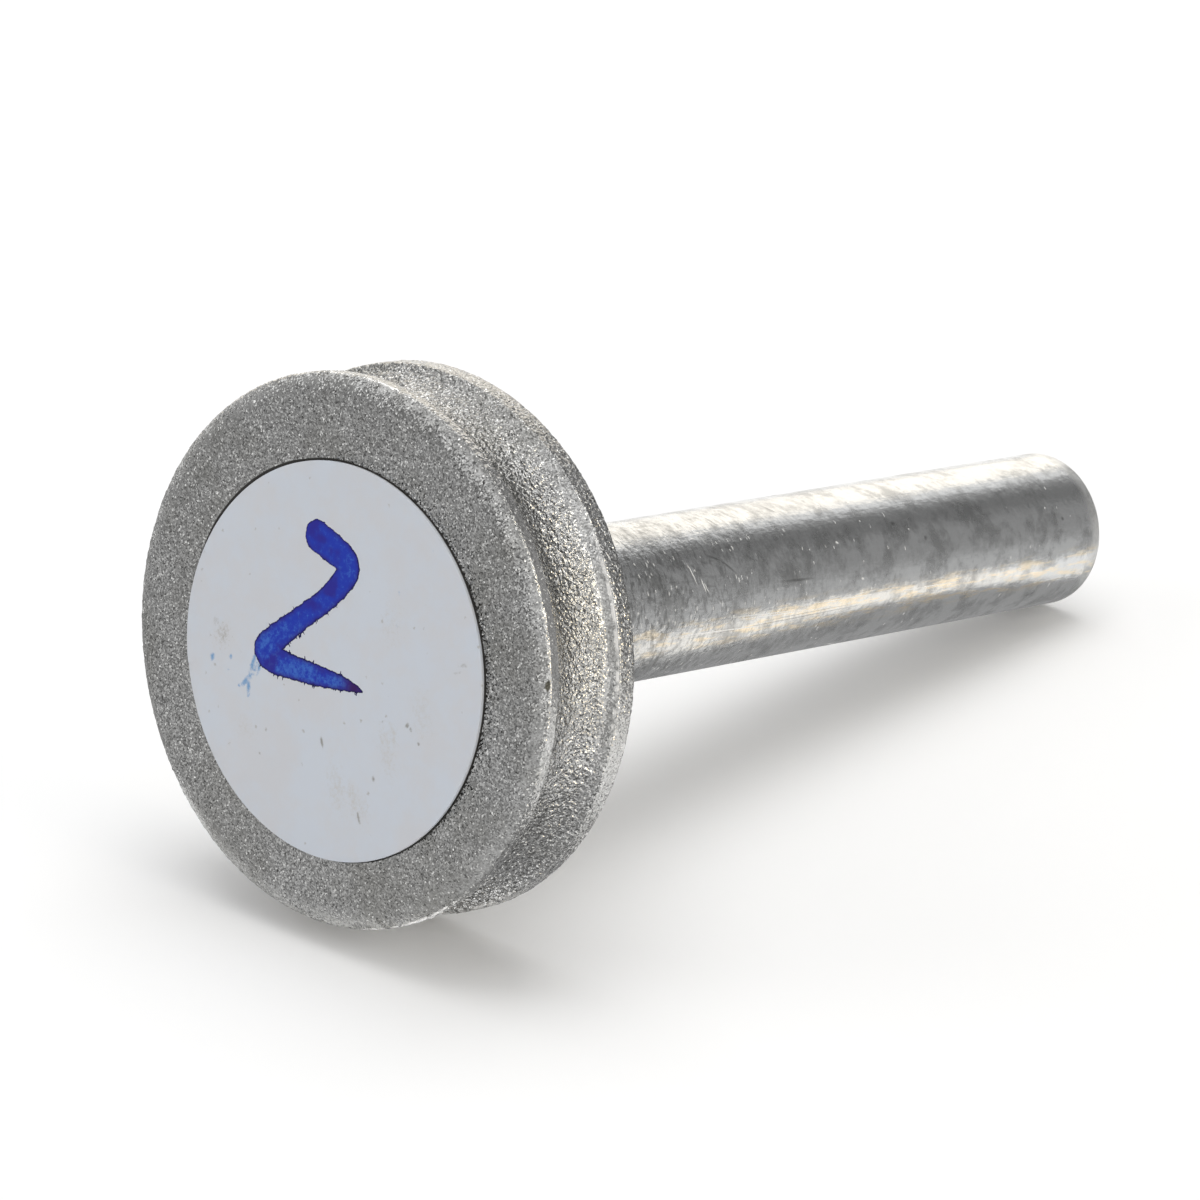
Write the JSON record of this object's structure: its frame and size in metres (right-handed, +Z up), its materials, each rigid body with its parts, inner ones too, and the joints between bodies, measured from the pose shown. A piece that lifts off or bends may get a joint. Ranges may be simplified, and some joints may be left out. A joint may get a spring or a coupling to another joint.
{
  "type": "diamond grinding bit",
  "caption": "Grinding bit with a plain round shank and a disc head that has a hollow groove round its rim, for profiling edges of glass or stone in a rotary tool.",
  "frame": {"origin": "on the floor, below the middle of the bit as it lies", "axes": "+Z up; the face of the head with its label looks towards -Y and 11 degrees up, the shank runs back towards +Y, and X is level across the bit"},
  "size_m": [0.02, 0.0424, 0.0204],
  "materials": {
    "plated_steel": "nickel plated with diamond grit on the head, bare scuffed steel on the shank",
    "label_paper": "coated paper, satin, slightly soiled"
  },
  "bodies": {
    "root": {"bit_body": "plated_steel", "label": "label_paper"}
  },
  "joints": []
}
